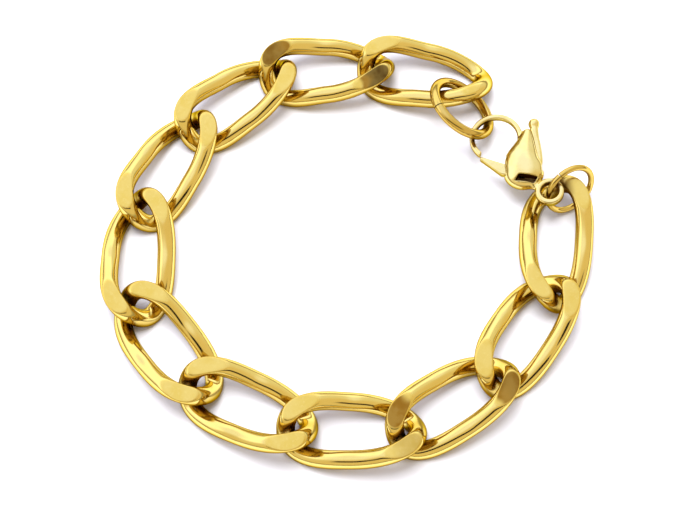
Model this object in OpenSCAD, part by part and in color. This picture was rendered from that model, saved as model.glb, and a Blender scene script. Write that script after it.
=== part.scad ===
// Link bracelet, lying closed on a surface at z = 0.
// Twisted oval links, ground flat above and below, joined by a lobster clasp on two jump rings.

/* [Links] */
// Length over the outside of one link
link_l = 20.6; // [18.6:0.1:24]
// Width over the outside of one link
link_w = 10.7; // [10.6:0.1:12.5]
// Diameter of the wire that the links are bent from
link_wire_d = 2.6; // [2:0.05:2.7]
// Height of a link between its two ground faces
link_h = 5.6; // [5:0.1:6.6]
// How far each end of a link is twisted out of the flat, in degrees
link_twist = 55; // [50:1:60]
// Play between two links that are pulled tight
link_play = 0.5; // [0.35:0.05:0.8]

/* [Jump rings] */
// Outer diameter of the large jump ring, between the chain and the hook
large_ring_d = 11.4; // [11:0.1:12.6]
// Wire diameter of the large jump ring
large_ring_wire_d = 1.5; // [1.1:0.05:1.6]
// Outer diameter of the small jump ring, between the chain and the clasp's eye
small_ring_d = 8.2; // [7.9:0.1:8.8]
// Wire diameter of the small jump ring
small_ring_wire_d = 0.9; // [0.8:0.05:1.05]

/* [Clasp] */
// Outer diameter of the clasp's hook
hook_d = 7.7; // [7.5:0.1:8]
// Width of the hook's band, seen from above
hook_band_w = 0.7; // [0.6:0.05:0.85]
// Height of the hook's band
hook_band_h = 1; // [0.85:0.05:1.1]
// Length of the clasp's drop-shaped body
drop_l = 9.8; // [9.4:0.1:10.4]
// Greatest width of the drop
drop_w = 5.7; // [5.2:0.1:6.1]
// Greatest thickness of the drop
drop_t = 3.4; // [3.2:0.05:3.8]
// Outer diameter of the eye
eye_d = 4.1; // [3.9:0.05:4.3]
// Hole in the eye
eye_hole_d = 2.6; // [2.4:0.05:2.8]
// Height of the eye
eye_h = 1.2; // [1:0.05:1.4]

/* [Lever] */
// Thickness of the lever's plate
lever_t = 1.1; // [0.9:0.05:1.3]
// Diameter of the hidden pin that the lever turns on
pin_d = 0.8; // [0.6:0.05:1]
// How far the lever opens, in degrees
lever_travel = 20; // [12:1:22]
// Diameter of the rounded thumb knob
knob_d = 1.6; // [1.4:0.05:1.8]
// Height of the thumb knob
knob_h = 1.9; // [1.6:0.05:2.2]

/* [Hidden] */

// Turns from each link to the next, in degrees, laid by hand round the loop from the hook's end
TURNS = [13, 33, 24, 29, 39, 28, 22, 33, 24, 29];
link_count = len(TURNS) + 1;
// Direction in which the first link leads away from the hook's end
first_heading = 170.6;

// Shape of a link: the oval's powers along its sides and round its ends, and where the twist gathers
side_power = 2.1;
end_power = 2;
twist_gather = 1.4;
link_rings = 36;
link_sides = 12;

wire_r = link_wire_d / 2;
link_a = link_l / 2 - wire_r;
link_b = link_w / 2 - wire_r;
reach = link_a - wire_r - link_play / 2;
pitch = 2 * reach;
mid_h = link_h / 2;

// Clearances: between pieces that lie on each other, and between a leaning ring and the surface
rest_gap = 0.1;
floor_gap = 0.2;

// Large jump ring: where it lies on the first link, which way it leans and which way it faces
large_r = (large_ring_d - large_ring_wire_d) / 2;
large_wire_r = large_ring_wire_d / 2;
seat_turn = 109;
seat_facing = 105.5;
seat_rise = 36.5;
large_facing = 30.8;
large_seat_turn = 15;
large_seam_turn = 20;

// Small jump ring: direction and fall of its middle from the eye, in degrees, and the last link's place
small_r = (small_ring_d - small_ring_wire_d) / 2;
small_wire_r = small_ring_wire_d / 2;
small_side = 18;
small_fall = 22.2;
small_seam_turn = 200;
last_pivot_back = [-1.6, -0.5];

// Butt joint between the ends of a jump ring
seam_w = 0.06;

// Lie of the clasp: it leans on the last link, and its hook lies lower than its eye
clasp_nod = -3.5;
clasp_roll = -7.9;
eye_lift = 0.6;
hook_bearing = -44;
hook_free = 0.55;

// Drop, in the clasp's own frame: the eye at the origin and the hook's end along +Y
drop_aside = 1.75;
drop_side = eye_d / 2 + drop_aside;
drop_base = 0.7;
drop_sides = 16;
ALONG = 0;
SHIFT = 1;
HALF = 2;
THICK = 3;
// Sections: share of the length, shift and half width as shares of the width, share of the thickness
DROP = [
    [0,     0.064,  0.155, 0.47],
    [0.02,  0.018,  0.227, 0.68],
    [0.065, 0,      0.336, 0.79],
    [0.135, -0.009, 0.445, 0.91],
    [0.235, -0.005, 0.505, 0.99],
    [0.37,  -0.024, 0.495, 1],
    [0.5,   -0.013, 0.469, 0.96],
    [0.62,  0.035,  0.407, 0.88],
    [0.72,  0.093,  0.329, 0.78],
    [0.82,  0.147,  0.256, 0.68],
    [0.91,  0.184,  0.195, 0.58],
    [0.97,  0.185,  0.151, 0.47],
    [1,     0.182,  0.091, 0.3],
];
arm_from = 5;
arm_to = 10;

// Hook: it leaves the drop's tip at the neck and runs round to the gate
hook_r = (hook_d - hook_band_w) / 2;
neck_turn = 21.6;
neck_root = 22;
hook_end_turn = 227;
neck_back = 0.236;
band_edge = 0.18;
hook_mid = [-drop_side - neck_back - hook_r * cos(neck_turn),
            drop_base + drop_l - hook_r * sin(neck_turn)];
hook_end = hook_mid + hook_r * [cos(hook_end_turn), sin(hook_end_turn)];

// Eye, and the short stem that carries it
eye_edge = 0.2;
stem_d = 1.3;
stem_from = [-1.3, 0.8];
stem_to = [-2.8, 1.6];

// Window above the drop's base
window_l = 3;
window_w = 0.9;
window_turn = -4;
window_aside = 0.27;
window_up = 1.8;
window_mid = [window_aside - drop_side, window_up];

// Lever, about its pivot: the gate that meets the hook's end, the hub, and the arm with its knob
pivot_aside = 0.5;
pivot = [pivot_aside - drop_side, drop_base + drop_l * DROP[arm_from][ALONG]];
hub_d = 3;
tip_gap = 0.1;
gate_reach = norm(hook_end - pivot) - tip_gap;
GATE = [[-0.953, 0.297], [-0.739, 0.175], [-0.489, 0.092], [-0.12, 0.215], [-0.12, -0.215],
        [-0.528, -0.152], [-0.739, 0.03], [-0.897, 0.167], [-0.973, 0.229]];
arm_show = 0.3;
arm_w = 0.9;
knob_aside = 1.92;
knob_over = 1.05;
knob_mid = [knob_aside - drop_side, drop_base + drop_l + knob_over];
knob_edge = 0.35;
slot_gap = 0.1;
sweep_step = 4;
pin_running_fit = 0.05;
pin_press_fit = 0.015;
pin_seat = 0.6;
pin_reach = 0.47;
pin_from = -pin_reach * drop_t;
pin_to = lever_t / 2 + slot_gap + pin_seat;

gold = [0.87, 0.71, 0.33];
pale_gold = [0.93, 0.8, 0.46];

// Link wire: middle line of an oval whose two ends are twisted apart
function signed_pow(v, power) = sign(v) * pow(abs(v), power);
function wire_mid(turn) =
    let (x = link_a * signed_pow(cos(turn), 2 / side_power),
         y = link_b * signed_pow(sin(turn), 2 / end_power))
    [x, y, -y * sign(x) * tan(link_twist * pow(abs(x) / link_a, twist_gather))];
function unit(v) = v / norm(v);
function wire_section(i) =
    let (step = 360 / link_rings,
         mid = wire_mid(i * step),
         along = unit(wire_mid((i + 1) * step) - wire_mid((i - 1) * step)),
         up = unit([0, 0, 1] - along.z * along),
         side = cross(along, up))
    [for (j = [0 : link_sides - 1])
        let (turn = j * 360 / link_sides,
             p = mid + wire_r * (cos(turn) * up + sin(turn) * side))
        [p.x, p.y, max(-mid_h, min(mid_h, p.z))]];
link_skin = [for (i = [0 : link_rings - 1]) each wire_section(i)];

// Chain: joints between links, when the turns of its two halves are scaled by the two bends
function heading(i, bends) = i == 0 ? first_heading
    : heading(i - 1, bends) + TURNS[i - 1] * (2 * i <= link_count ? bends[0] : bends[1]);
function joint(i, bends) = i == 0 ? [0, 0]
    : joint(i - 1, bends) + pitch * [cos(heading(i - 1, bends)), sin(heading(i - 1, bends))];

// Newton's method finds the two bends that bring the chain's end to the small jump ring
bend_step = 0.001;
function miss(bends) = joint(link_count, bends) - chain_end;
function closer(bends) =
    let (m = miss(bends),
         a = (miss(bends + [bend_step, 0]) - m) / bend_step,
         b = (miss(bends + [0, bend_step]) - m) / bend_step)
    bends - [cross(m, b), cross(a, m)] / cross(a, b);
function closed(bends, rounds) = rounds == 0 ? bends : closed(closer(bends), rounds - 1);

// Places, from the first link's free end outwards: large ring, hook, eye, small ring, last link's end
function turned(v, turn) = [v.x * cos(turn) - v.y * sin(turn), v.x * sin(turn) + v.y * cos(turn)];
function lifted(v, z) = [v.x, v.y, z];
first_mid = reach * [cos(first_heading), sin(first_heading)];
seat_wire = wire_mid(seat_turn);
seat_way = [cos(seat_rise) * cos(seat_facing), cos(seat_rise) * sin(seat_facing), sin(seat_rise)];
large_seat = lifted(first_mid + turned(seat_wire, first_heading), mid_h + seat_wire.z)
    + (wire_r + large_wire_r + rest_gap) * seat_way;
large_tilt = asin((large_seat.z - large_wire_r - floor_gap) / large_r / (1 + sin(large_seat_turn)));
large_level = [-sin(large_facing), cos(large_facing), 0];
large_uphill = [-cos(large_facing) * cos(large_tilt), -sin(large_facing) * cos(large_tilt), sin(large_tilt)];
large_mid = large_seat - large_r * (cos(large_seat_turn) * large_level + sin(large_seat_turn) * large_uphill);

function clasp_place(p) =
    let (z = p.y * sin(clasp_nod))
    [p.x * cos(clasp_roll) + z * sin(clasp_roll), p.y * cos(clasp_nod),
     -p.x * sin(clasp_roll) + z * cos(clasp_roll)];
hook_bite = large_wire_r + hook_band_w / 2 + hook_free;
hook_place = (large_r + hook_r - hook_bite) * [cos(hook_bearing), sin(hook_bearing)];
eye_z = mid_h + wire_r + eye_lift + eye_h / 2;
eye_mid = [large_mid.x + hook_place.x - clasp_place(hook_mid).x,
           large_mid.y + hook_place.y - clasp_place(hook_mid).y, eye_z];
small_mid = eye_mid
    + small_r * [cos(small_fall) * cos(small_side), cos(small_fall) * sin(small_side), -sin(small_fall)];
small_tilt = asin(min(1, (small_mid.z - small_wire_r - floor_gap) / small_r));
small_facing = small_side - acos(tan(small_fall) / tan(small_tilt));
chain_end = [small_mid.x, small_mid.y] + last_pivot_back;
bends = closed([1, 1], 8);

// Middle of the whole bracelet, seen from above, which is brought to the origin
function ring_half(facing, tilt, r, wire, across) =
    wire + r * sqrt(1 - pow(sin(tilt) * cos(facing - across), 2));
function link_place(i) =
    let (h = heading(i, bends))
    joint(i, bends) + reach * [cos(h), sin(h)];
skins = [for (i = [0 : link_count - 1]) each
    let (place = link_place(i), h = heading(i, bends)) [for (p = link_skin) place + turned(p, h)]];
large_half = [for (across = [0, 90]) ring_half(large_facing, large_tilt, large_r, large_wire_r, across)];
small_half = [for (across = [0, 90]) ring_half(small_facing, small_tilt, small_r, small_wire_r, across)];
edges = [for (c = [0, 1])
    [min(min([for (p = skins) p[c]]), large_mid[c] - large_half[c], small_mid[c] - small_half[c]),
     max(max([for (p = skins) p[c]]), large_mid[c] + large_half[c], small_mid[c] + small_half[c])]];
middle = [for (e = edges) (e[0] + e[1]) / 2];

module chain_link(i) {
    color(i % 2 == 0 ? gold : pale_gold)
    translate(lifted(link_place(i) - middle, mid_h)) rotate([0, 0, heading(i, bends)])
    polyhedron(link_skin, [for (r = [0 : link_rings - 1], s = [0 : link_sides - 1])
        let (r2 = (r + 1) % link_rings, s2 = (s + 1) % link_sides)
        each [[r * link_sides + s, r2 * link_sides + s2, r * link_sides + s2],
              [r * link_sides + s, r2 * link_sides + s, r2 * link_sides + s2]]]);
}

module jump_ring(r, wire, seam_turn) {
    seam = seam_w / r * 180 / PI;
    rotate([0, 0, seam_turn + seam / 2])
    rotate_extrude(angle = 360 - seam, $fn = 96) translate([r, 0]) circle(d = wire, $fn = 32);
}

module large_jump_ring() {
    color(pale_gold) translate(large_mid - lifted(middle, 0)) rotate([0, large_tilt, large_facing])
        jump_ring(large_r, large_ring_wire_d, large_seam_turn);
}

module small_jump_ring() {
    color(pale_gold) translate(small_mid - lifted(middle, 0)) rotate([0, small_tilt, small_facing])
        jump_ring(small_r, small_ring_wire_d, small_seam_turn);
}

module at_clasp() {
    translate(eye_mid - lifted(middle, 0)) rotate([clasp_nod, clasp_roll, 0]) children();
}

// A rectangle with its four corners cut off
module edged(w, h, edge) {
    x = w / 2;
    y = h / 2;
    polygon([[x - edge, -y], [x, edge - y], [x, y - edge], [x - edge, y],
             [edge - x, y], [-x, y - edge], [-x, edge - y], [edge - x, -y]]);
}

function drop_mid(row) = drop_w * row[SHIFT] - drop_side;
function drop_up(row) = drop_base + drop_l * row[ALONG];
function drop_flank(row) = drop_mid(row) + drop_w * row[HALF];

module drop() {
    rows = len(DROP);
    skin = [for (row = DROP, j = [0 : drop_sides - 1])
        let (turn = (j + 0.5) * 360 / drop_sides)
        [drop_mid(row) + drop_w * row[HALF] * cos(turn), drop_up(row), drop_t / 2 * row[THICK] * sin(turn)]];
    sides = [for (r = [0 : rows - 2], s = [0 : drop_sides - 1])
        let (s2 = (s + 1) % drop_sides, here = r * drop_sides, next = here + drop_sides)
        each [[here + s, next + s2, next + s], [here + s, here + s2, next + s2]]];
    ends = [[for (s = [0 : drop_sides - 1]) drop_sides - 1 - s],
            [for (s = [0 : drop_sides - 1]) (rows - 1) * drop_sides + s]];
    polyhedron(skin, concat(sides, ends));
}

module hook() {
    difference() {
        translate(hook_mid) rotate([0, 0, neck_turn - neck_root])
            rotate_extrude(angle = hook_end_turn - neck_turn + neck_root, $fn = 96)
            translate([hook_r, 0]) edged(hook_band_w, hook_band_h, band_edge);
        intersection() {
            translate(lifted(pivot, -drop_t)) cylinder(r = gate_reach + tip_gap, h = 2 * drop_t, $fn = 96);
            translate(lifted(hook_mid - [hook_d, hook_d], -drop_t)) cube([hook_d, hook_d, 2 * drop_t]);
        }
    }
}

module eye_ring() {
    width = (eye_d - eye_hole_d) / 2;
    rotate_extrude($fn = 64) translate([(eye_d - width) / 2, 0]) edged(width, eye_h, eye_edge);
    way = stem_to - stem_from;
    translate(stem_from) rotate([0, 90, atan2(way.y, way.x)]) cylinder(d = stem_d, h = norm(way), $fn = 32);
}

module window() {
    translate(lifted(window_mid, -lever_t / 2 - slot_gap)) rotate([0, 0, window_turn]) {
        span = window_l - window_w;
        translate([-span / 2, -window_w / 2, 0]) cube([span, window_w, drop_t]);
        for (end = [-1, 1]) translate([end * span / 2, 0, 0]) cylinder(d = window_w, h = drop_t, $fn = 32);
    }
}

module lever_outline() {
    arm_rows = [for (i = [arm_from : arm_to]) DROP[i]];
    outer = [for (row = arm_rows) [drop_flank(row) + arm_show, drop_up(row)] - pivot];
    knob = knob_mid - pivot;
    tip_half = [arm_w / 2, 0];
    polygon(gate_reach * GATE);
    circle(d = hub_d, $fn = 48);
    polygon(concat([[0, 0]], outer, [knob + tip_half, knob - tip_half],
                   [for (i = [len(outer) - 1 : -1 : 1]) outer[i] - [arm_w, 0]]));
}

module lever_slot() {
    translate([0, 0, -lever_t / 2 - slot_gap]) linear_extrude(lever_t + 2 * slot_gap)
        offset(delta = slot_gap)
        for (turn = [0 : sweep_step : lever_travel]) rotate([0, 0, -turn]) lever_outline();
}

module clasp_body() {
    color(gold) at_clasp() {
        difference() {
            union() {
                drop();
                hook();
                eye_ring();
            }
            window();
            translate(pivot) {
                lever_slot();
                translate([0, 0, -drop_t])
                    cylinder(d = pin_d + 2 * pin_press_fit, h = drop_t + pin_to + pin_press_fit, $fn = 32);
            }
        }
    }
}

module clasp_lever() {
    color(pale_gold) at_clasp() translate(pivot) difference() {
        union() {
            translate([0, 0, -lever_t / 2]) linear_extrude(lever_t) lever_outline();
            translate(knob_mid - pivot) rotate_extrude($fn = 48)
                intersection() {
                    edged(knob_d, knob_h, knob_edge);
                    translate([0, -knob_h]) square([knob_d, 2 * knob_h]);
                }
        }
        translate([0, 0, -lever_t]) cylinder(d = pin_d + 2 * pin_running_fit, h = 2 * lever_t, $fn = 32);
    }
}

module lever_pin() {
    color("silver") at_clasp() translate(lifted(pivot, pin_from))
        cylinder(d = pin_d, h = pin_to - pin_from, $fn = 32);
}

function link_name(i) = str("link_", i < 9 ? "0" : "", i + 1);
for (i = [0 : link_count - 1]) chain_link(i);
large_jump_ring();
small_jump_ring();
clasp_body();
clasp_lever();
lever_pin();
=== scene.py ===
"""Link bracelet: twisted, ground gold links, two jump rings and a lobster clasp with a sprung lever."""

import math

import bpy
from bpy.props import FloatProperty, FloatVectorProperty, IntProperty, PointerProperty
from mathutils import Matrix, Vector


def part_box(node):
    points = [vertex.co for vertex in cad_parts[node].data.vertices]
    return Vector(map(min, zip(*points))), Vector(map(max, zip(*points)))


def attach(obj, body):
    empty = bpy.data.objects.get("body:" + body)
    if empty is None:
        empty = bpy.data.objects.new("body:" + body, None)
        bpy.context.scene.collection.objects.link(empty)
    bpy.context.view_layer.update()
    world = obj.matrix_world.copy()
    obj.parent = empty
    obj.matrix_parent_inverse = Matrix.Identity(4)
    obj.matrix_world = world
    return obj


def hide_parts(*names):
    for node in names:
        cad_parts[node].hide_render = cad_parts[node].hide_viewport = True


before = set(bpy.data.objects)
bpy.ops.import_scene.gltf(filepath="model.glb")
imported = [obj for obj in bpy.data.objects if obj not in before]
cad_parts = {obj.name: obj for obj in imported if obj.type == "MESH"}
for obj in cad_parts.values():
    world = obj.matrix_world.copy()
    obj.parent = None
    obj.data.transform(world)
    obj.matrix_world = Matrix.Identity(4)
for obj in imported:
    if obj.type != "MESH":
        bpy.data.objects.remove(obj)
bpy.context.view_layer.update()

bl_info = {
    "name": "Link Bracelet",
    "version": (1, 0, 0),
    "blender": (4, 5, 0),
    "location": "3D View > Sidebar > Bracelet",
    "description": "Builds a link bracelet with a lobster clasp, its finishes and its studio",
    "category": "Object",
}

MM = 0.001
LINKS = sorted(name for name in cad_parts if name.startswith("link_"))
BODY = "bracelet"
LEVER = "lever"
LINK_LOW, LINK_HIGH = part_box(LINKS[0])
# How a link's two upper ground faces rise, as slopes along X and Y: left head, right head
LEVEL = ((0.0, 0.0, 0.0), (0.0, 0.0, 0.0))
LEANS = {"link_02": ((0.0, 0.2, 0.0), (0.0, 0.2, 0.0))}
# How much dark reflection is painted on the upper ground faces, from 0, bright gold, to 1, dark brown: left head, right
# head
NO_DARK_REFLECTION = (0.0, 0.0)
DARK_REFLECTION = {"link_02": (0.75, 1.0), "link_08": (0.0, 0.2), "link_09": (0.5, 0.7)}
# Middle of a head, as shares of the oval's half length and half width
HEAD_AHEAD = 0.78
HEAD_ASIDE = 0.62
# A spot of painted dark reflection lies this share of the half length further out, and fades between two distances
SPOT_AHEAD = 0.12
SPOT_FADE = (3.5 * MM, 4.8 * MM)
# The wire thickens past this share of the half length
THICK_FROM = 0.6
# Distances to a piece above count as this share, because it shades from further away
SHADE_ABOVE = 0.4
# A ring's axis is found by this many rounds of a power iteration
AXIS_ROUNDS = 40
# A CAD node's corners count as one point where they agree to this many digits, in metres
POINT_DIGITS = 7
# Jump rings: name, turn of the butt joint and the link that the ring holds
JUMP_RINGS = (("large_jump_ring", math.radians(171), LINKS[0]), ("small_jump_ring", math.radians(200), LINKS[-1]))


# Sockets and nodes
class Value:
    """A number or a link on its way through a node tree; arithmetic on it adds Math nodes."""

    def __init__(self, tree, socket):
        self.tree = tree
        self.socket = socket

    def math(self, operation, *values):
        return node(self.tree, "ShaderNodeMath", {"operation": operation}, dict(enumerate(values)))[0]

    def __add__(self, other):
        return self.math("ADD", self, other)

    def __radd__(self, other):
        return self.math("ADD", other, self)

    def __sub__(self, other):
        return self.math("SUBTRACT", self, other)

    def __rsub__(self, other):
        return self.math("SUBTRACT", other, self)

    def __mul__(self, other):
        return self.math("MULTIPLY", self, other)

    def __truediv__(self, other):
        return self.math("DIVIDE", self, other)

    def __rtruediv__(self, other):
        return self.math("DIVIDE", other, self)

    def __pow__(self, other):
        return self.math("POWER", self, other)

    def __neg__(self):
        return self.math("MULTIPLY", self, -1.0)

    def __abs__(self):
        return self.math("ABSOLUTE", self)

    def least(self, other, soft=0.0):
        return self.math("SMOOTH_MIN", self, other, soft) if soft else self.math("MINIMUM", self, other)

    def most(self, other, soft=0.0):
        return self.math("SMOOTH_MAX", self, other, soft) if soft else self.math("MAXIMUM", self, other)

    def root(self):
        return self.math("SQRT", self)

    def cosine(self):
        return self.math("COSINE", self)

    def sine(self):
        return self.math("SINE", self)


class Outputs:
    """A node's outputs, by number or by name."""

    def __init__(self, tree, source):
        self.tree = tree
        self.source = source

    def __getitem__(self, key):
        return Value(self.tree, self.source.outputs[key])


def node(tree, kind, settings=None, inputs=None):
    """Adds one node: its settings first, then each input's value or link, by number or by name."""
    made = tree.nodes.new(kind)
    for name, value in (settings or {}).items():
        setattr(made, name, value)
    for key, value in (inputs or {}).items():
        if isinstance(value, Value):
            tree.links.new(value.socket, made.inputs[key])
        else:
            made.inputs[key].default_value = value
    return Outputs(tree, made)


def blend_colour(tree, factor, a, b):
    """The colour that lies between two colours."""
    def four(colour):
        return colour if isinstance(colour, Value) else (*colour, 1.0)

    return node(tree, "ShaderNodeMix", {"data_type": "RGBA"}, {0: factor, 6: four(a), 7: four(b)})[2]


def dot(tree, a, b):
    """Dot product of two vectors."""
    return node(tree, "ShaderNodeVectorMath", {"operation": "DOT_PRODUCT"}, {0: a, 1: b})["Value"]


def minus(tree, a, b):
    """One vector less another."""
    return node(tree, "ShaderNodeVectorMath", {"operation": "SUBTRACT"}, {0: a, 1: b})[0]


def vector(tree, x=0.0, y=0.0, z=0.0):
    """A vector from its parts."""
    return node(tree, "ShaderNodeCombineXYZ", None, {0: x, 1: y, 2: z})[0]


def scaled(tree, a, factor):
    """A vector times a number."""
    return node(tree, "ShaderNodeVectorMath", {"operation": "SCALE"}, {0: a, "Scale": factor})[0]


def step(value, low, high):
    """0 below low, 1 above high and smooth between them."""
    settings = {"interpolation_type": "SMOOTHSTEP"}
    return node(value.tree, "ShaderNodeMapRange", settings, {0: value, 1: low, 2: high})[0]


# Settings
class LinkSettings(bpy.types.PropertyGroup):
    """Sizes of a link, the same for every link."""

    length: FloatProperty(name="Length", description="Length over the outside", default=20.6 * MM,
                          unit="LENGTH", precision=5)
    width: FloatProperty(name="Width", description="Width over the outside", default=10.6 * MM,
                         unit="LENGTH", precision=5)
    wire: FloatProperty(name="Wire", description="Diameter of the wire", default=2.6 * MM,
                        unit="LENGTH", precision=5)
    height: FloatProperty(name="Height", description="Height between the ground faces",
                          default=LINK_HIGH.z - LINK_LOW.z, unit="LENGTH", precision=5)
    twist: FloatProperty(name="Twist", description="How far each end is twisted out of the flat",
                         default=math.radians(55), subtype="ANGLE")
    end_twist: FloatProperty(name="End twist", description="Twist of the first link's free end",
                             default=math.radians(43), subtype="ANGLE")
    gather: FloatProperty(name="Gather", description="How late along the link the twist sets in", default=1.4)
    side_power: FloatProperty(name="Side power", description="Squareness of the oval's sides", default=2.65)
    thicker: FloatProperty(name="Thicker", description="Share by which the wire is thicker at its heads",
                           default=0.14)
    rim: FloatProperty(name="Rim", description="Softness of a ground face's rim", default=0.35 * MM,
                       unit="LENGTH", precision=5)
    rings: IntProperty(name="Rings", description="Steps along the wire", default=192)
    sides: IntProperty(name="Sides", description="Steps round the wire", default=72)


class RingSettings(bpy.types.PropertyGroup):
    """Sizes that both jump rings share."""

    seam: FloatProperty(name="Seam", description="Width of the butt joint", default=0.12 * MM,
                        unit="LENGTH", precision=6)
    steps: IntProperty(name="Steps", description="Steps round the ring", default=160)
    sides: IntProperty(name="Sides", description="Steps round the wire", default=40)


class FinishSettings(bpy.types.PropertyGroup):
    """Colours of the finishes, and of the painted shade and painted dark reflections on them."""

    bright: FloatVectorProperty(name="Bright gold", description="Colour of the polished links",
                                default=(0.93, 0.72, 0.2), subtype="COLOR", size=3)
    satin: FloatVectorProperty(name="Satin gold", description="Colour of the ground faces",
                               default=(0.85, 0.61, 0.11), subtype="COLOR", size=3)
    # Flank colour is painted shade on the steep flanks, standing in for their dark reflections
    flank_shade: FloatVectorProperty(name="Flank gold", description="Colour of the links' and rings' steep flanks",
                               default=(0.46, 0.29, 0.05), subtype="COLOR", size=3)
    ring: FloatVectorProperty(name="Ring gold", description="Colour of the jump rings",
                              default=(0.78, 0.55, 0.13), subtype="COLOR", size=3)
    pale: FloatVectorProperty(name="Pale gold", description="Colour of the clasp",
                              default=(0.99, 0.82, 0.31), subtype="COLOR", size=3)
    # Ochre and brown are painted dark reflections on the ground faces
    ochre: FloatVectorProperty(name="Ochre", description="Colour of a dull spot",
                               default=(0.34, 0.16, 0.014), subtype="COLOR", size=3)
    brown: FloatVectorProperty(name="Brown", description="Colour of the dullest spot",
                               default=(0.1, 0.05, 0.009), subtype="COLOR", size=3)
    # Crevice colour is painted shade between pieces and in hollows
    crevice_shade: FloatVectorProperty(name="Crevice", description="Colour between pieces and in hollows",
                                 default=(0.1, 0.032, 0.005), subtype="COLOR", size=3)
    glance: FloatVectorProperty(name="Glance", description="Tint of the gold's reflections seen along the surface",
                                default=(0.45, 0.34, 0.14), subtype="COLOR", size=3)
    steel: FloatVectorProperty(name="Steel", description="Colour of the lever's pin",
                               default=(0.6, 0.59, 0.57), subtype="COLOR", size=3)


class StudioSettings(bpy.types.PropertyGroup):
    """Floor, lights and camera."""

    elevation: FloatProperty(name="Elevation", description="Camera's angle above the floor",
                             default=math.radians(70), subtype="ANGLE")
    distance: FloatProperty(name="Distance", description="Camera's distance from its target",
                            default=185.2 * MM, unit="LENGTH", precision=4)
    lens: FloatProperty(name="Lens", description="Focal length", default=68.6)
    target: FloatVectorProperty(name="Target", description="Point that the camera looks at", size=3,
                                default=(-1.435 * MM, -2.003 * MM, 2.8 * MM), subtype="XYZ", precision=5)
    paper: FloatVectorProperty(name="Paper", description="Colour of the floor",
                               default=(0.88, 0.9, 0.95), subtype="COLOR", size=3)
    tent_far: FloatVectorProperty(name="Tent, far side", description="Light of the tent behind the bracelet",
                                  default=(0.86, 0.86, 0.9), subtype="COLOR", size=3)
    tent_near: FloatVectorProperty(name="Tent, near side", description="Light of the tent before the bracelet",
                                   default=(0.8, 0.68, 0.51), subtype="COLOR", size=3)
    cap: FloatVectorProperty(name="Cap", description="Light of the bright cap overhead",
                             default=(1.03, 1.09, 1.53), subtype="COLOR", size=3)
    soft_box: FloatVectorProperty(name="Soft box", description="Light of the low box at the back on the left",
                                  default=(1.42, 1.42, 1.75), subtype="COLOR", size=3)
    rail: FloatVectorProperty(name="Rail", description="Light of the dim rail just above the floor",
                              default=(0.37, 0.33, 0.27), subtype="COLOR", size=3)
    dark_bar: FloatVectorProperty(name="Dark bar", description="Light of the dark bar before the bracelet",
                                  default=(0.01, 0.007, 0.004), subtype="COLOR", size=3)
    bar_lift: FloatProperty(name="Bar lift", description="Angle of the dark bar above the floor",
                            default=math.radians(52), subtype="ANGLE")
    lamp: FloatVectorProperty(name="Lamp", description="Place of the lamp", default=(-0.04, 0.075, 0.36),
                              subtype="XYZ", size=3)
    lamp_size: FloatProperty(name="Lamp size", description="Width of the lamp", default=0.2, unit="LENGTH")
    lamp_power: FloatProperty(name="Lamp power", description="Power of the lamp", default=1.5, unit="POWER")
    lamp_colour: FloatVectorProperty(name="Lamp colour", description="Colour of the lamp's light",
                                     default=(1.0, 0.99, 0.97), subtype="COLOR", size=3)


class ClaspSettings(bpy.types.PropertyGroup):
    """Lie and sizes of the lobster clasp."""

    eye: FloatVectorProperty(name="Eye", description="Middle of the clasp's eye", size=3,
                             default=(28.6294 * MM, 6.59726 * MM, 5.3 * MM), subtype="XYZ", precision=5)
    nod: FloatProperty(name="Nod", description="Rise of the clasp towards its hook",
                       default=math.radians(-3.5), subtype="ANGLE")
    roll: FloatProperty(name="Roll", description="Lean of the clasp about its length",
                        default=math.radians(-7.9), subtype="ANGLE")
    hook_radius: FloatProperty(name="Hook radius", description="Radius of the hook's middle line, in mm",
                               default=3.5)
    band_width: FloatProperty(name="Band width", description="Width of the hook's band, in mm", default=0.76)
    band_height: FloatProperty(name="Band height", description="Height of the hook's band, in mm", default=1.0)
    drop_width: FloatProperty(name="Drop width", description="Greatest width of the drop, in mm", default=5.76)
    drop_height: FloatProperty(name="Drop height", description="Greatest thickness of the drop, in mm",
                               default=3.4)
    eye_width: FloatProperty(name="Eye width", description="Outer diameter of the eye, in mm", default=4.1)
    eye_hole: FloatProperty(name="Eye hole", description="Hole in the eye, in mm", default=2.45)
    eye_height: FloatProperty(name="Eye height", description="Height of the eye, in mm", default=1.2)
    plate: FloatProperty(name="Plate", description="Thickness of the lever's plate, in mm", default=1.1)
    knob: FloatProperty(name="Knob", description="Diameter of the thumb knob, in mm", default=1.64)
    grain: FloatProperty(name="Grain", description="Fineness of the cast surfaces, in mm", default=0.075)


# Geometry
def geometry_tree(name, sockets):
    """A Geometry Nodes tree with named inputs of each kind and a material; gives it with its inputs by name."""
    tree = bpy.data.node_groups.new(name, "GeometryNodeTree")
    sockets = {**sockets, "Material": ("Material",)}
    labels = [(label, kind) for kind, group in sockets.items() for label in group]
    for label, kind in labels:
        tree.interface.new_socket(label, in_out="INPUT", socket_type="NodeSocket" + kind)
    tree.interface.new_socket("Geometry", in_out="OUTPUT", socket_type="NodeSocketGeometry")
    given = node(tree, "NodeGroupInput")
    return tree, {label: given[label] for label, kind in labels}


def finish_tree(tree, mesh, material):
    """Ends a tree: instances made real, the material set, and the result handed out."""
    real = node(tree, "GeometryNodeRealizeInstances", None, {0: mesh})[0]
    smooth = node(tree, "GeometryNodeSetShadeSmooth", None, {0: real})[0]
    done = node(tree, "GeometryNodeSetMaterial", None, {"Geometry": smooth, "Material": material})[0]
    node(tree, "NodeGroupOutput", None, {0: done})


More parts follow.
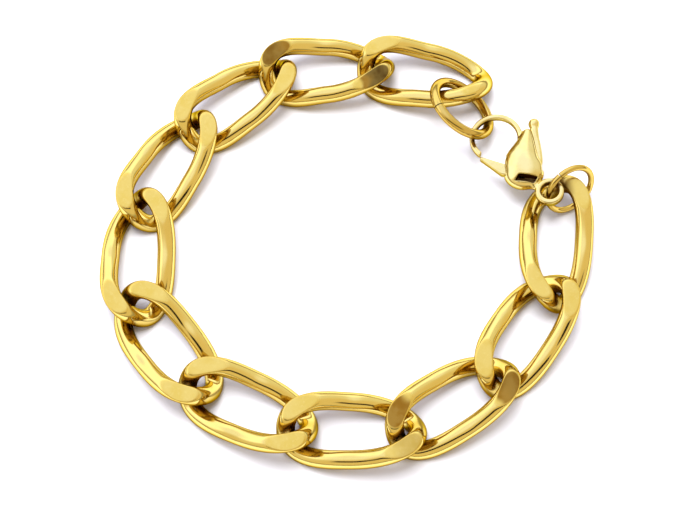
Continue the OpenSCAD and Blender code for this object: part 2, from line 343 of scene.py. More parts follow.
def grown(name, tree, values):
    """Runs a tree on an empty object and keeps the result as a plain mesh object."""
    holder = bpy.data.objects.new(name + "_seed", bpy.data.meshes.new(name + "_seed"))
    bpy.context.scene.collection.objects.link(holder)
    modifier = holder.modifiers.new("Grow", "NODES")
    modifier.node_group = tree
    for item in tree.interface.items_tree:
        if item.in_out == "INPUT" and item.name in values:
            modifier[item.identifier] = values[item.name]
    bpy.context.view_layer.update()
    evaluated = holder.evaluated_get(bpy.context.evaluated_depsgraph_get())
    mesh = bpy.data.meshes.new_from_object(evaluated)
    holder.modifiers.remove(modifier)
    bpy.data.objects.remove(holder)
    mesh.name = name
    piece = bpy.data.objects.new(name, mesh)
    bpy.context.scene.collection.objects.link(piece)
    return piece


def store(tree, mesh, name, value):
    """Keeps a value on the mesh's points, for the finish."""
    return node(tree, "GeometryNodeStoreNamedAttribute", {"data_type": "FLOAT", "domain": "POINT"},
                {"Geometry": mesh, "Name": name, "Value": value})[0]


def reach_to(tree, piece):
    """How far each point is from a piece."""
    shape = node(tree, "GeometryNodeObjectInfo", {"transform_space": "RELATIVE"}, {"Object": piece})["Geometry"]
    return node(tree, "GeometryNodeProximity", {"target_element": "FACES"}, {0: shape})["Distance"]


def mark_for_painted_shade(tree, mesh, given):
    """Marks each point's gap to the pieces beside and above it, in mm, and how steep the surface is there; the finish
    paints shade from both.
    """
    gap = reach_to(tree, given["Before"]).least(reach_to(tree, given["After"]))
    if "Above" in given:
        gap = gap.least(reach_to(tree, given["Above"]) * SHADE_ABOVE)
    upright = node(tree, "ShaderNodeSeparateXYZ", None, {0: node(tree, "GeometryNodeInputNormal")[0]})[2]
    return store(tree, store(tree, mesh, "gap", gap / MM), "steep", 1 - upright)


def pick(tree, kind, second, a, b):
    """The first of two values, or the second where a test holds."""
    return node(tree, "GeometryNodeSwitch", {"input_type": kind}, {0: second, 1: a, 2: b})[0]


def round_profile(tree, sides, radius):
    """The round section that a wire is swept from."""
    return node(tree, "GeometryNodeCurvePrimitiveCircle", {"mode": "RADIUS"},
                {"Resolution": sides, "Radius": radius})[0]


def place_piece(piece, body, node_name):
    """Lets a piece ride on its body in place of a CAD node, which it hides."""
    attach(piece, body)
    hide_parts(node_name)


def node_points(name):
    """A CAD node's points, each one once."""
    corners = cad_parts[name].data.vertices
    return [Vector(p) for p in sorted({tuple(round(c, POINT_DIGITS) for c in corner.co) for corner in corners})]


def link_lie(name):
    """Middle and heading of a link, from its CAD node."""
    points = node_points(name)
    middle = sum(points, Vector()) / len(points)
    xx = sum((p.x - middle.x) ** 2 for p in points)
    yy = sum((p.y - middle.y) ** 2 for p in points)
    xy = sum((p.x - middle.x) * (p.y - middle.y) for p in points)
    return middle, math.atan2(2 * xy, xx - yy) / 2


def link_tree():
    """A link: an oval of wire, its ends twisted apart, ground flat above and below.

    Each upper head may lean: its ground face then rises along a vector of slopes. How much was ground
    away is kept on the mesh as a share of the wire, and how much dark reflection is painted on the spot."""
    tree, given = geometry_tree("Twisted Link", {
        "Float": ("Length", "Width", "Wire", "Height", "Left Twist", "Right Twist", "Gather", "Side Power", "Rim",
                  "Heading", "Left Dark Reflection", "Right Dark Reflection", "Thicker"),
        "Int": ("Rings", "Sides"), "Vector": ("Middle", "Left Lean", "Right Lean"),
        "Object": ("Before", "After", "Above")})
    rings = given["Rings"]
    turn = node(tree, "GeometryNodeInputIndex")[0] / rings * math.tau
    across = turn.cosine()
    along = turn.sine()
    a = (given["Length"] - given["Wire"]) / 2
    b = (given["Width"] - given["Wire"]) / 2
    side = across.math("SIGN", across)
    share = abs(across) ** (2 / given["Side Power"])
    y = b * along
    low, high = given["Left Twist"], given["Right Twist"]
    twist = (low + high + side * (high - low)) / 2
    lean = twist.math("TANGENT", twist * share ** given["Gather"])
    point = vector(tree, a * side * share, y, -(y * side * lean))
    circle = node(tree, "GeometryNodeCurvePrimitiveCircle", {"mode": "RADIUS"}, {"Resolution": rings})[0]
    path = node(tree, "GeometryNodeSetPosition", None, {"Geometry": circle, "Position": point})[0]
    upright = node(tree, "GeometryNodeSetCurveNormal", {"mode": "Z_UP"}, {0: path})[0]
    upright = node(tree, "GeometryNodeSetCurveRadius", None,
                   {"Curve": upright, "Radius": 1 + given["Thicker"] * step(share, THICK_FROM, 1.0)})[0]
    profile = round_profile(tree, given["Sides"], given["Wire"] / 2)
    wire = node(tree, "GeometryNodeCurveToMesh", None, {"Curve": upright, "Profile Curve": profile})[0]

    heading = given["Heading"]
    faced = node(tree, "GeometryNodeTransform", None, {"Geometry": wire, "Rotation": vector(tree, z=heading)})[0]
    here = node(tree, "GeometryNodeInputPosition")[0]
    place = node(tree, "ShaderNodeSeparateXYZ", None, {0: here})
    ahead = vector(tree, heading.cosine(), heading.sine())
    beside = vector(tree, -heading.sine(), heading.cosine())
    right = node(tree, "FunctionNodeCompare", {"data_type": "FLOAT", "operation": "GREATER_THAN"},
                 {0: dot(tree, here, ahead), 1: 0.0})[0]
    end = pick(tree, "FLOAT", right, -1.0, 1.0)
    head = node(tree, "ShaderNodeVectorMath", {"operation": "ADD"},
                {0: scaled(tree, ahead, end * a * HEAD_AHEAD), 1: scaled(tree, beside, -(end * b * HEAD_ASIDE))})[0]
    away = minus(tree, here, head)
    half = given["Height"] / 2
    top = half + dot(tree, away, pick(tree, "VECTOR", right, given["Left Lean"], given["Right Lean"]))
    flat = place[2].least(top, given["Rim"]).most(-half, given["Rim"])
    marked = store(tree, faced, "ground", abs(place[2] - flat) / given["Wire"])

    # Spot where a dark reflection is painted on the head's ground face, fading with distance
    off_spot = minus(tree, away, scaled(tree, ahead, end * a * SPOT_AHEAD))
    far = node(tree, "ShaderNodeVectorMath", {"operation": "LENGTH"}, {0: off_spot})["Value"]
    dull = pick(tree, "FLOAT", right, given["Left Dark Reflection"], given["Right Dark Reflection"])
    marked = store(tree, marked, "dull", dull * (1 - step(far, *SPOT_FADE)))
    cut = node(tree, "GeometryNodeSetPosition", None,
               {"Geometry": marked, "Position": vector(tree, place[0], place[1], flat)})[0]
    laid = node(tree, "GeometryNodeTransform", None, {"Geometry": cut, "Translation": given["Middle"]})[0]
    finish_tree(tree, mark_for_painted_shade(tree, laid, given), given["Material"])
    return tree


def ring_lie(name):
    """Middle, facing, tilt, radius and wire radius of a jump ring, from its CAD node."""
    points = node_points(name)
    middle = sum(points, Vector()) / len(points)
    spread = [[sum((p[i] - middle[i]) * (p[j] - middle[j]) for p in points) for j in range(3)] for i in range(3)]
    inverse = Matrix(spread).inverted()
    normal = Vector((0.0, 0.0, 1.0))
    for _ in range(AXIS_ROUNDS):
        normal = (inverse @ normal).normalized()
    if normal.z < 0:
        normal.negate()
    heights = [(p - middle).dot(normal) for p in points]
    reach = [((p - middle) - h * normal).length for p, h in zip(points, heights)]
    return (middle, math.atan2(normal.y, normal.x), math.acos(normal.z),
            (max(reach) + min(reach)) / 2, (max(heights) - min(heights)) / 2)


def ring_tree():
    """A jump ring: round wire bent to a circle, its two ends butted at the seam."""
    tree, given = geometry_tree("Jump Ring", {
        "Float": ("Radius", "Wire Radius", "Seam", "Seam Turn", "Tilt", "Facing"), "Int": ("Steps", "Sides"),
        "Vector": ("Middle",), "Object": ("Before", "After")})
    gap = given["Seam"] / given["Radius"]
    share = node(tree, "GeometryNodeInputIndex")[0] / (given["Steps"] - 1)
    turn = given["Seam Turn"] + gap / 2 + share * (math.tau - gap)
    radius = given["Radius"]
    point = vector(tree, radius * turn.cosine(), radius * turn.sine())
    line = node(tree, "GeometryNodeMeshLine", None, {"Count": given["Steps"]})[0]
    bent = node(tree, "GeometryNodeSetPosition", None, {"Geometry": line, "Position": point})[0]
    path = node(tree, "GeometryNodeMeshToCurve", None, {0: bent})[0]
    upright = node(tree, "GeometryNodeSetCurveNormal", {"mode": "Z_UP"}, {0: path})[0]
    profile = round_profile(tree, given["Sides"], given["Wire Radius"])
    wire = node(tree, "GeometryNodeCurveToMesh", None,
                {"Curve": upright, "Profile Curve": profile, "Fill Caps": True})[0]
    leant = vector(tree, y=given["Tilt"], z=given["Facing"])
    laid = node(tree, "GeometryNodeTransform", None,
                {"Geometry": wire, "Translation": given["Middle"], "Rotation": leant})[0]
    finish_tree(tree, mark_for_painted_shade(tree, laid, given), given["Material"])
    return tree


# Clasp, in millimetres and in its own frame: the eye at the origin, the hook's end along +Y
PIVOT = (-3.3, 4.326)
TRAVEL = math.radians(20)
PLAY = 0.1
# Blocks that the two castings are cut from: lowest and highest corner
BODY_BLOCK = ((-11.5, -2.4, -1.9), (2.4, 13.4, 1.9))
LEVER_BLOCK = ((-10.2, 2.5, -1.15), (-0.5, 12.7, 1.15))
# Gate: how far it reaches from the pivot, and the lines that bound it above, below and at its root
GATE_REACH = 6.63
GATE_UPPER = ((-9.62, 6.14), (-6.54, 4.88))
GATE_LOWER = ((-9.4, 5.42), (-6.8, 3.06))
GATE_ROOT = ((-6.8, 3.02), (-4.1, 2.75))
# Plate: radius of its hub, depth that its section is drawn to and rounding of its edges
HUB_RADIUS = 1.45
PLATE_DEPTH = 0.3
PLATE_ROUND = 0.25
# Arm: width, rounding, right edge by the pivot, bend, taper and where the taper ends above the pivot
ARM_WIDTH = 1.12
ARM_ROUND = 0.45
ARM_RIGHT = -0.67
ARM_BEND = 0.0175
ARM_TAPER = 0.12
ARM_TAPER_END = 1.3
# Arm: middle and half of its length
ARM_MIDDLE = 7.33
ARM_HALF = 2.95
# Rods: both ends and the radius at each
WEB = ((*PIVOT, 0.0), (-1.7, 5.1, 0.0), 0.5, 0.5)
NECK = ((-1.65, 9.2, 0.0), (-1.68, 11.0, 0.0), 0.54, 0.66)
STEM = ((-1.55, 0.85, 0.0), (-2.9, 1.6, 0.0), 0.5, 0.75)
# Thumb knob: middle, and the share that its heights count as, which makes it a little taller
KNOB = (-1.66, 11.25)
KNOB_RISE = 0.95
# Hook: middle, first and last turn of its band in degrees, and rounding of the band
HOOK = (-7.29, 9.212)
HOOK_FROM = -3.0
HOOK_TO = 227.0
BAND_ROUND = 0.3
# Eye: rounding of its edges, and how far its dark rim reaches beyond the hole
EYE_ROUND = 0.33
EYE_RIM = 0.12
# Slot: radius at the hub, floor line, top and end at the gate, step under the arm, half width
SLOT_HUB = 1.62
SLOT_FLOOR = ((-6.8, 2.87), (-4.1, 2.58))
SLOT_TOP = 6.15
SLOT_END = -7.6
SLOT_STEP = 0.12
SLOT_HALF = 0.63
# Window: middle, turn, half length and half width, slant, corner radius and floor
WINDOW = (-3.22, 1.9)
WINDOW_TURN = math.radians(-9)
WINDOW_HALF = (1.2, 0.3)
WINDOW_SLANT = 0.5
WINDOW_CORNER = 0.18
WINDOW_FLOOR = 0.1
# Drop along Y: its bottom, its broadest place, its tip and how far below the tip it is rounded off
DROP_BOTTOM = 0.68
DROP_BROAD = 3.2
DROP_TIP = 10.5
DROP_CUT = 0.3
# Drop from its broadest place to its tip: share of the way, half width and half height as shares, middle in mm
DROP = ((0.0, 1.0, 1.0, -3.53), (0.155, 0.997, 1.0, -3.57), (0.329, 0.885, 0.96, -3.68), (0.49, 0.736, 0.88, -3.5),
        (0.625, 0.573, 0.78, -3.2), (0.759, 0.42, 0.68, -2.93), (0.879, 0.29, 0.58, -2.76),
        (0.959, 0.217, 0.5, -2.7), (1.0, 0.19, 0.46, -2.68))


def hypot(*parts):
    """Length of a vector given by its parts."""
    return sum(part * part for part in parts).root()


def beside_line(x, y, a, b):
    """How far a point lies to the left of the line from a to b."""
    run, rise = b[0] - a[0], b[1] - a[1]
    reach = math.hypot(run, rise)
    return (y - a[1]) * (run / reach) - (x - a[0]) * (rise / reach)


def rod(x, y, z, a, b, thick_a, thick_b):
    """Distance from a rod with round ends, which tapers from one radius to the other."""
    way = [q - p for p, q in zip(a, b)]
    off = [v - p for v, p in zip((x, y, z), a)]
    share = (off[0] * way[0] + off[1] * way[1] + off[2] * way[2]) / sum(w * w for w in way)
    share = share.most(0.0).least(1.0)
    gap = hypot(*[o - share * w for o, w in zip(off, way)])
    return gap - (thick_a + share * (thick_b - thick_a))


def bar(across, up, half_width, half_height, rounding):
    """Distance from a bar's rounded section."""
    over = across - (half_width - rounding)
    above = abs(up) - (half_height - rounding)
    return hypot(over.most(0.0), above.most(0.0)) + over.most(above).least(0.0) - rounding


def profile_curve(tree, share, column):
    """One column of the drop's table as a smooth curve."""
    values = [row[column] for row in DROP]
    low, high = min(values), max(values)
    made = node(tree, "ShaderNodeFloatCurve", None, {"Value": share})
    mapping = made.source.mapping
    points = mapping.curves[0].points
    while len(points) < len(DROP):
        points.new(1.0, 1.0)
    for spot, row, value in zip(points, DROP, values):
        spot.location = (row[0], (value - low) / (high - low))
    mapping.update()
    return made[0] * (high - low) + low


def clasp_space(name, sizes):
    """A tree with the clasp's inputs; gives it with its inputs and the three axes of the clasp's frame."""
    tree, given = geometry_tree(name, {
        "Float": (*sizes, "Nod", "Roll", "Grain"), "Vector": ("Eye",), "Object": ("Before", "After")})
    place = node(tree, "ShaderNodeSeparateXYZ", None, {0: node(tree, "GeometryNodeInputPosition")[0]})
    return tree, given, place[0], place[1], place[2]


def cast(tree, given, inside, hollow, block):
    """Casts the shape whose distance is given out of its block, marks where shade is painted in its hollows and lays it
    in its place.
    """
    low, high = block
    inputs = {"Density": -inside, "Background": -1.0, "Min": low, "Max": high}
    for axis, a, b in zip("XYZ", low, high):
        inputs["Resolution " + axis] = (b - a) / given["Grain"]
    volume = node(tree, "GeometryNodeVolumeCube", None, inputs)[0]
    skin = node(tree, "GeometryNodeVolumeToMesh", None, {"Volume": volume, "Threshold": 0.0})[0]
    laid = node(tree, "GeometryNodeTransform", None, {
        "Geometry": store(tree, skin, "hollow", hollow), "Translation": given["Eye"],
        "Rotation": vector(tree, given["Nod"], given["Roll"]), "Scale": (MM, MM, MM)})[0]
    finish_tree(tree, mark_for_painted_shade(tree, laid, given), given["Material"])


def drop_distance(tree, given, x, y, z):
    """Distance from the drop: an ellipsoid at its foot that runs out into a slender tip."""
    share = ((y - DROP_BROAD) / (DROP_TIP - DROP_BROAD)).most(0.0).least(1.0)
    wide = given["Drop Width"] / 2 * profile_curve(tree, share, 1)
    high = given["Drop Height"] / 2 * profile_curve(tree, share, 2)
    foot = DROP_BROAD - DROP_BOTTOM
    aside = (x - profile_curve(tree, share, 3)) / wide
    up = z / high
    below = (y - DROP_BROAD).least(0.0) / foot
    reach = hypot(aside, up, below)
    slope = hypot(aside / wide, up / high, below / foot)
    return (reach * (reach - 1) / slope).most(y - DROP_TIP + DROP_CUT, soft=0.6)


def hook_distance(given, x, y, z):
    """Distance from the hook's band, which ends where the gate's tip swings past."""
    middle = math.radians((HOOK_FROM + HOOK_TO) / 2)
    spread = math.radians((HOOK_TO - HOOK_FROM) / 2)
    u = x - HOOK[0]
    v = y - HOOK[1]
    along = u * math.cos(middle) + v * math.sin(middle)
    aside = abs(v * math.cos(middle) - u * math.sin(middle))
    radius = given["Hook Radius"]
    beyond = aside * math.cos(spread) - along * math.sin(spread)
    past = beyond.math("GREATER_THAN", beyond, 0.0)
    arc = abs(hypot(along, aside) - radius)
    tip = hypot(along - radius * math.cos(spread), aside - radius * math.sin(spread))
    reach = past * tip + (1 - past) * arc
    band = bar(reach, z, given["Band Width"] / 2, given["Band Height"] / 2, BAND_ROUND)
    swing = hypot(x - PIVOT[0], y - PIVOT[1]) - (GATE_REACH + PLAY)
    return band.most(-(swing.most(u).most(v)), soft=0.1)


def arm_line(y):
    """Right edge of the lever's arm at a height along the clasp."""
    rise = y - PIVOT[1]
    taper = (ARM_TAPER_END - rise).most(0.0)
    return ARM_RIGHT - rise * rise * ARM_BEND - taper * taper * ARM_TAPER


def slot_distance(x, y, z):
    """Distance from the slot that the lever swings in."""
    hub = hypot(x - PIVOT[0], y - PIVOT[1]) - SLOT_HUB
    gate = (-beside_line(x, y, *SLOT_FLOOR)).most(y - SLOT_TOP).most(x - PIVOT[0]).most(SLOT_END - x)
    under = PIVOT[1] - SLOT_STEP - (x - PIVOT[0]) * math.tan(TRAVEL) - y
    wall = arm_line(y) - ARM_WIDTH - PLAY - x
    return hub.least(gate).least(under.most(wall)).most(abs(z) - SLOT_HALF)


def window_distance(x, y, z):
    """Distance from the window above the drop's foot."""
    cosine, sine = math.cos(WINDOW_TURN), math.sin(WINDOW_TURN)
    u = (x - WINDOW[0]) * cosine + (y - WINDOW[1]) * sine
    v = (y - WINDOW[1]) * cosine - (x - WINDOW[0]) * sine
    over = (abs(u - v * WINDOW_SLANT) - WINDOW_HALF[0]).most(0.0)
    above = (abs(v) - WINDOW_HALF[1]).most(0.0)
    return (hypot(over, above) - WINDOW_CORNER).most(WINDOW_FLOOR - z)


def clasp_body_tree():
    """The clasp's cast body: drop, hook, eye and stem, with the lever's slot and the window cut out."""
    tree, given, x, y, z = clasp_space("Clasp Body", (
        "Hook Radius", "Band Width", "Band Height", "Drop Width", "Drop Height", "Eye Width", "Eye Hole", "Eye Height"))
    drop = drop_distance(tree, given, x, y, z)
    hook = hook_distance(given, x, y, z)
    ring = (given["Eye Width"] + given["Eye Hole"]) / 4
    wall = (given["Eye Width"] - given["Eye Hole"]) / 4
    eye = bar(abs(hypot(x, y) - ring), z, wall, given["Eye Height"] / 2, EYE_ROUND)
    stem = rod(x, y, z, *STEM)
    whole = drop.least(hook, soft=0.5).least(stem, soft=0.3).least(eye, soft=0.35)
    cut = window_distance(x, y, z)
    inside = whole.most(-slot_distance(x, y, z), soft=0.05).most(-cut, soft=0.25)
    # Painted shade in the window's depth and at the eye's hole
    depth = step(-whole, 0.12, 0.5) * (1 - step(cut, 0.1, 0.3))
    hole = step(given["Eye Hole"] / 2 + EYE_RIM - hypot(x, y), 0.0, 0.1)
    cast(tree, given, inside, depth.most(hole), BODY_BLOCK)
    return tree


def clasp_lever_tree():
    """The clasp's lever: a gate that meets the hook's end, a hub, and an arm with a thumb knob."""
    tree, given, x, y, z = clasp_space("Clasp Lever", ("Plate", "Knob"))
    swing = hypot(x - PIVOT[0], y - PIVOT[1])
    thick = given["Plate"] / 2
    gate = beside_line(x, y, *GATE_UPPER).most(-beside_line(x, y, *GATE_LOWER), soft=0.2)
    gate = gate.most(-beside_line(x, y, *GATE_ROOT), soft=0.3).most(swing - GATE_REACH, soft=0.15)
    outline = gate.most(x - PIVOT[0]).least(swing - HUB_RADIUS, soft=0.9)
    plate = bar(outline + PLATE_DEPTH, z, PLATE_DEPTH, thick, PLATE_ROUND)
    half = ARM_WIDTH / 2
    arm = bar(abs(x - arm_line(y) + half), z, half, thick, ARM_ROUND).most(abs(y - ARM_MIDDLE) - ARM_HALF, soft=0.4)
    knob = hypot(x - KNOB[0], y - KNOB[1], z * KNOB_RISE) - given["Knob"] / 2
    inside = plate.least(arm, soft=0.1).least(rod(x, y, z, *WEB), soft=0.2)
    inside = inside.least(rod(x, y, z, *NECK), soft=0.4).least(knob, soft=0.3)
    cast(tree, given, inside, 0.0, LEVER_BLOCK)
    return tree


# Finishes. Marks on the meshes that they read: ground, the share of the wire that was ground away; a mark from 0 to 1
# of how much dark reflection is painted on a ground face; gap, mm to the next piece, from which shade is painted
# between pieces;
# steep, 0 facing up to 2 facing down, from which shade is painted on the flanks; a mark of 1 in a hole, where shade is
# painted
CLOUD_SCALE = 420.0
SPECK_SCALE = 2600.0
GRAIN_SCALE = 600.0
# From where to where the cloud counts as mottle, and a mark as ground, as a dull face and as steep
MOTTLE = (0.38, 0.66)
GROUND = (0.002, 0.03)
DARK_REFLECTION_GROUND = (0.02, 0.08)
STEEP = (0.45, 0.9)
# Painted shade: gap that is dark throughout, gap where it ends, and how much further it reaches on a flank
CREVICE_FROM = 0.1
CREVICE_TO = 0.75
CREVICE_FLANK = 1.3
BUMP_STRENGTH = 0.12
BUMP_DEPTH = 0.02 * MM
# The clasp's painted flank shade: share of the satin colour
CLASP_FLANK_SHADE = 0.62


def blank(name):
    """A material with an empty tree; gives both, and the place that its textures are laid by."""
    material = bpy.data.materials.new(name)
    material.use_nodes = True
    tree = material.node_tree
    tree.nodes.clear()
    return material, tree, node(tree, "ShaderNodeTexCoord")["Object"]


def mark(tree, name):
    """A value that is kept on the mesh; 0 where the mesh has none of that name."""
    return node(tree, "ShaderNodeAttribute", {"attribute_name": name})["Fac"]


def gold(name, colours, colour, flank_shade, ground):
    """Polished gold plate with painted shade on its steep flanks and in crevices; where ground is True, the ground
    faces are satin, with painted dark reflections on some.
    """
    material, tree, where = blank(name)
    cloud = node(tree, "ShaderNodeTexNoise", None, {"Vector": where, "Scale": CLOUD_SCALE, "Detail": 3.0})[0]
    speck = node(tree, "ShaderNodeTexNoise", None, {"Vector": where, "Scale": SPECK_SCALE, "Detail": 2.0})[0]
    mottle = step(cloud, *MOTTLE)
    flat = step(mark(tree, "ground"), *GROUND) if ground else mottle * 0.2
    # Painted shade on the steep flanks, strongest where the surface turns sideways and down
    rim = step(mark(tree, "steep"), *STEEP)
    # Painted shade between pieces, under a piece above and in hollows; it reaches further on steep flanks
    crevice_shade = 1 - step(mark(tree, "gap"), CREVICE_FROM, CREVICE_TO + rim * CREVICE_FLANK)
    crevice_shade = crevice_shade.most(mark(tree, "hollow"))

    tone = blend_colour(tree, flat * (0.65 + mottle * 0.35) + (1 - flat) * mottle * 0.15, colour, colours.satin)
    tone = blend_colour(tree, flat * step(speck, 0.5, 0.75) * 0.5, tone, colour)
    tone = blend_colour(tree, rim, tone, flank_shade)
    # Painted dark reflection on the chosen ground faces: ochre, turning brown where it is strongest
    if ground:
        dull = mark(tree, "dull")
        amount = step(mark(tree, "ground"), *DARK_REFLECTION_GROUND) * step(dull, 0.05, 0.4) * (0.85 + mottle * 0.15)
        tone = blend_colour(tree, amount, tone,
                            blend_colour(tree, step(dull, 0.55, 1.0), colours.ochre, colours.brown))
    # Painted shade laid over the colour in crevices
    tone = blend_colour(tree, crevice_shade * (0.72 + mottle * 0.28), tone, colours.crevice_shade)

    rough = 0.1 + mottle * 0.03 + flat * (0.16 + speck * 0.08) + crevice_shade * 0.25
    relief = speck * (0.25 + flat * 0.75) + cloud * 0.6
    bump = node(tree, "ShaderNodeBump", None,
                {"Strength": BUMP_STRENGTH, "Distance": BUMP_DEPTH, "Height": relief})[0]
    shader = node(tree, "ShaderNodeBsdfPrincipled", None,
                  {"Base Color": tone, "Metallic": 1.0, "Roughness": rough, "Normal": bump,
                   "Specular Tint": (*colours.glance, 1.0)})[0]
    node(tree, "ShaderNodeOutputMaterial", None, {0: shader})
    return material


def plain(name, colour, roughness, metallic):
    """One even finish with a fine grain."""
    material, tree, where = blank(name)
    grain = node(tree, "ShaderNodeTexNoise", None, {"Vector": where, "Scale": GRAIN_SCALE})[0]
    tone = blend_colour(tree, grain * 0.1, colour, [c * 0.8 for c in colour])
    shader = node(tree, "ShaderNodeBsdfPrincipled", None,
                  {"Base Color": tone, "Metallic": metallic, "Roughness": roughness + grain * 0.05})[0]
    node(tree, "ShaderNodeOutputMaterial", None, {0: shader})
    return material


# Operators
class BRACELET_OT_links(bpy.types.Operator):
    """Build every link of the chain"""

    bl_idname = "bracelet.links"
    bl_label = "Links"

    def execute(self, context):
        sizes = context.scene.bracelet_links
        colours = context.scene.bracelet_finish
        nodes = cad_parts
        shared = {
            "Length": sizes.length, "Width": sizes.width, "Wire": sizes.wire, "Height": sizes.height,
            "Gather": sizes.gather, "Side Power": sizes.side_power, "Rim": sizes.rim, "Thicker": sizes.thicker,
            "Rings": sizes.rings, "Sides": sizes.sides, "Left Twist": sizes.twist, "Above": nodes["clasp_body"],
            "Material": gold("Link Gold", colours, colours.bright, colours.flank_shade, True)}
        tree = link_tree()
        row = ["large_jump_ring", *LINKS, "small_jump_ring"]
        for before, name, after in zip(row, LINKS, row[2:]):
            middle, heading = link_lie(name)
            lean, dull = LEANS.get(name, LEVEL), DARK_REFLECTION.get(name, NO_DARK_REFLECTION)
            piece = grown(name + "_wire", tree, {
                **shared, "Middle": middle, "Heading": heading,
                "Right Twist": sizes.end_twist if name == LINKS[0] else sizes.twist,
                "Left Lean": lean[0], "Right Lean": lean[1], "Left Dark Reflection": dull[0], "Right Dark Reflection": dull[1],
                "Before": nodes[before], "After": nodes[after]})
            place_piece(piece, BODY, name)
        return {"FINISHED"}


class BRACELET_OT_rings(bpy.types.Operator):
    """Build the two jump rings"""

    bl_idname = "bracelet.rings"
    bl_label = "Jump Rings"

    def execute(self, context):
        sizes = context.scene.bracelet_rings
        colours = context.scene.bracelet_finish
        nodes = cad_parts
        material = gold("Ring Gold", colours, colours.ring, colours.flank_shade, False)
        tree = ring_tree()
        for name, seam_turn, link in JUMP_RINGS:
            middle, facing, tilt, radius, wire = ring_lie(name)
            piece = grown(name + "_wire", tree, {
                "Radius": radius, "Wire Radius": wire, "Seam": sizes.seam, "Seam Turn": seam_turn,
                "Steps": sizes.steps, "Sides": sizes.sides, "Middle": middle, "Tilt": tilt, "Facing": facing,
                "Before": nodes[link], "After": nodes["clasp_body"], "Material": material})
            place_piece(piece, BODY, name)
        return {"FINISHED"}


class BRACELET_OT_clasp(bpy.types.Operator):
    """Finish the clasp's body, lever and pin"""

    bl_idname = "bracelet.clasp"
    bl_label = "Clasp"

    def execute(self, context):
        sizes = context.scene.bracelet_clasp
        colours = context.scene.bracelet_finish
        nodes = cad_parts
        # The clasp's flanks get painted shade: a darker share of the satin colour
        flank_shade = [c * CLASP_FLANK_SHADE for c in colours.satin]
        shared = {
            "Eye": sizes.eye, "Nod": sizes.nod, "Roll": sizes.roll, "Grain": sizes.grain,
            "Before": nodes["large_jump_ring"], "After": nodes["small_jump_ring"],
            "Material": gold("Clasp Gold", colours, colours.pale, flank_shade, False)}
        body = grown("clasp_body_cast", clasp_body_tree(), {
            "Hook Radius": sizes.hook_radius, "Band Width": sizes.band_width, "Band Height": sizes.band_height,
            "Drop Width": sizes.drop_width, "Drop Height": sizes.drop_height, "Eye Width": sizes.eye_width,
            "Eye Hole": sizes.eye_hole, "Eye Height": sizes.eye_height, **shared})
        place_piece(body, BODY, "clasp_body")
        lever = grown("clasp_lever_cast", clasp_lever_tree(), {"Plate": sizes.plate, "Knob": sizes.knob, **shared})
        place_piece(lever, LEVER, "clasp_lever")
        finishes = nodes["lever_pin"].data.materials
        finishes.clear()
        finishes.append(plain("Pin Steel", colours.steel, 0.3, 1.0))
        return {"FINISHED"}


# Studio: half the floor's width, and the camera's clipping range, in metres
FLOOR_HALF = 1.0
CLIP = (0.01, 10.0)
# World of light, over directions with X to the right, Y to the back and Z up: ranges where each light fades
TENT_FADE = (-0.35, 0.45)
CAP_WAY = Vector((-0.3, 0.45, 0.84)).normalized()
CAP_FADE = (0.62, 0.92)
BOX_LOWER = (0.22, 0.34)
BOX_UPPER = (0.66, 0.8)
BOX_SIDE = (0.25, 0.45)
RAIL_HEIGHT = 0.04
RAIL_FADE = (0.06, 0.2)
BAR_WIDTH = (0.1, 0.16)
BAR_LENGTH = (0.5, 0.65)
BAR_FRONT = (0.0, 0.2)


def area_light(name, place, target, size, power, colour):
    """A square soft light that faces its target."""
    data = bpy.data.lights.new(name, "AREA")
    data.energy = power
    data.size = size
    data.color = colour
    lamp = bpy.data.objects.new(name, data)
    bpy.context.scene.collection.objects.link(lamp)
    lamp.location = place
    lamp.rotation_euler = (Vector(target) - Vector(place)).to_track_quat("-Z", "Y").to_euler()
    return lamp


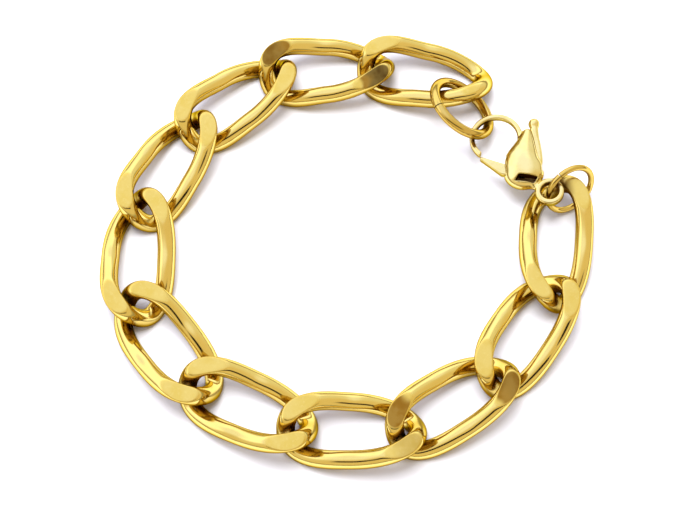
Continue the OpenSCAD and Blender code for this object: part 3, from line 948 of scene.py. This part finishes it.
class BRACELET_OT_studio(bpy.types.Operator):
    """Lay the floor and set the lights and the camera"""

    bl_idname = "bracelet.studio"
    bl_label = "Studio"

    def execute(self, context):
        studio = context.scene.bracelet_studio
        scene = context.scene
        mesh = bpy.data.meshes.new("floor")
        corners = [(x * FLOOR_HALF, y * FLOOR_HALF, 0.0) for x, y in ((-1, -1), (1, -1), (1, 1), (-1, 1))]
        mesh.from_pydata(corners, [], [(0, 1, 2, 3)])
        floor = bpy.data.objects.new("floor", mesh)
        scene.collection.objects.link(floor)
        floor.data.materials.append(plain("Paper", studio.paper, 0.9, 0.0))

        world = bpy.data.worlds.new("Studio")
        scene.world = world
        world.use_nodes = True
        tree = world.node_tree
        tree.nodes.clear()
        way = node(tree, "ShaderNodeTexCoord")["Generated"]
        parts = node(tree, "ShaderNodeSeparateXYZ", None, {0: way})
        right, far, up = parts[0], parts[1], parts[2]
        near = step(right * 0.45 - far + 0.1, *TENT_FADE)
        tent = blend_colour(tree, near, studio.tent_far, studio.tent_near)
        tent = blend_colour(tree, step(dot(tree, way, CAP_WAY), *CAP_FADE), tent, studio.cap)
        box = step(up, *BOX_LOWER) * (1 - step(up, *BOX_UPPER)) * step(far * 0.77 - right * 0.64, *BOX_SIDE)
        tent = blend_colour(tree, box, tent, studio.soft_box)
        tent = blend_colour(tree, 1 - step(abs(up - RAIL_HEIGHT), *RAIL_FADE), tent, studio.rail)
        off_bar = abs(dot(tree, way, Vector((0.0, math.sin(studio.bar_lift), math.cos(studio.bar_lift)))))
        dark = (1 - step(off_bar, *BAR_WIDTH)) * (1 - step(abs(right), *BAR_LENGTH)) * step(-far, *BAR_FRONT)
        tent = blend_colour(tree, dark, tent, studio.dark_bar)
        light = node(tree, "ShaderNodeBackground", None, {"Color": tent, "Strength": 1.0})[0]
        node(tree, "ShaderNodeOutputWorld", None, {0: light})

        target = Vector(studio.target)
        lamp = area_light("key", studio.lamp, target, studio.lamp_size, studio.lamp_power, studio.lamp_colour)
        lamp.visible_glossy = False

        data = bpy.data.cameras.new("camera")
        data.lens = studio.lens
        data.clip_start, data.clip_end = CLIP
        camera = bpy.data.objects.new("camera", data)
        scene.collection.objects.link(camera)
        back = Vector((0, -math.cos(studio.elevation), math.sin(studio.elevation)))
        camera.location = target + back * studio.distance
        camera.rotation_euler = (-back).to_track_quat("-Z", "Y").to_euler()
        scene.camera = camera
        scene.view_settings.view_transform = "Standard"
        return {"FINISHED"}


class BRACELET_PT_panel(bpy.types.Panel):
    """Lists the bracelet's pieces"""

    bl_label = "Bracelet"
    bl_idname = "BRACELET_PT_panel"
    bl_space_type = "VIEW_3D"
    bl_region_type = "UI"
    bl_category = "Bracelet"

    def draw(self, context):
        for operator in OPERATORS:
            self.layout.operator(operator.bl_idname)
        for name in SETTINGS:
            group = getattr(context.scene, name)
            box = self.layout.box()
            for key in group.bl_rna.properties.keys():
                if key not in ("rna_type", "name"):
                    box.prop(group, key)


OPERATORS = (BRACELET_OT_links, BRACELET_OT_rings, BRACELET_OT_clasp, BRACELET_OT_studio)
SETTINGS = {"bracelet_links": LinkSettings, "bracelet_rings": RingSettings, "bracelet_clasp": ClaspSettings,
            "bracelet_finish": FinishSettings, "bracelet_studio": StudioSettings}


def register():
    for group in SETTINGS.values():
        bpy.utils.register_class(group)
    for name, group in SETTINGS.items():
        setattr(bpy.types.Scene, name, PointerProperty(type=group))
    for item in (*OPERATORS, BRACELET_PT_panel):
        bpy.utils.register_class(item)


def unregister():
    for item in (BRACELET_PT_panel, *reversed(OPERATORS)):
        bpy.utils.unregister_class(item)
    for name in SETTINGS:
        delattr(bpy.types.Scene, name)
    for group in reversed(list(SETTINGS.values())):
        bpy.utils.unregister_class(group)


def main():
    register()
    bpy.ops.bracelet.studio()
    bpy.ops.bracelet.links()
    bpy.ops.bracelet.rings()
    bpy.ops.bracelet.clasp()


if __name__ == "__main__":
    main()
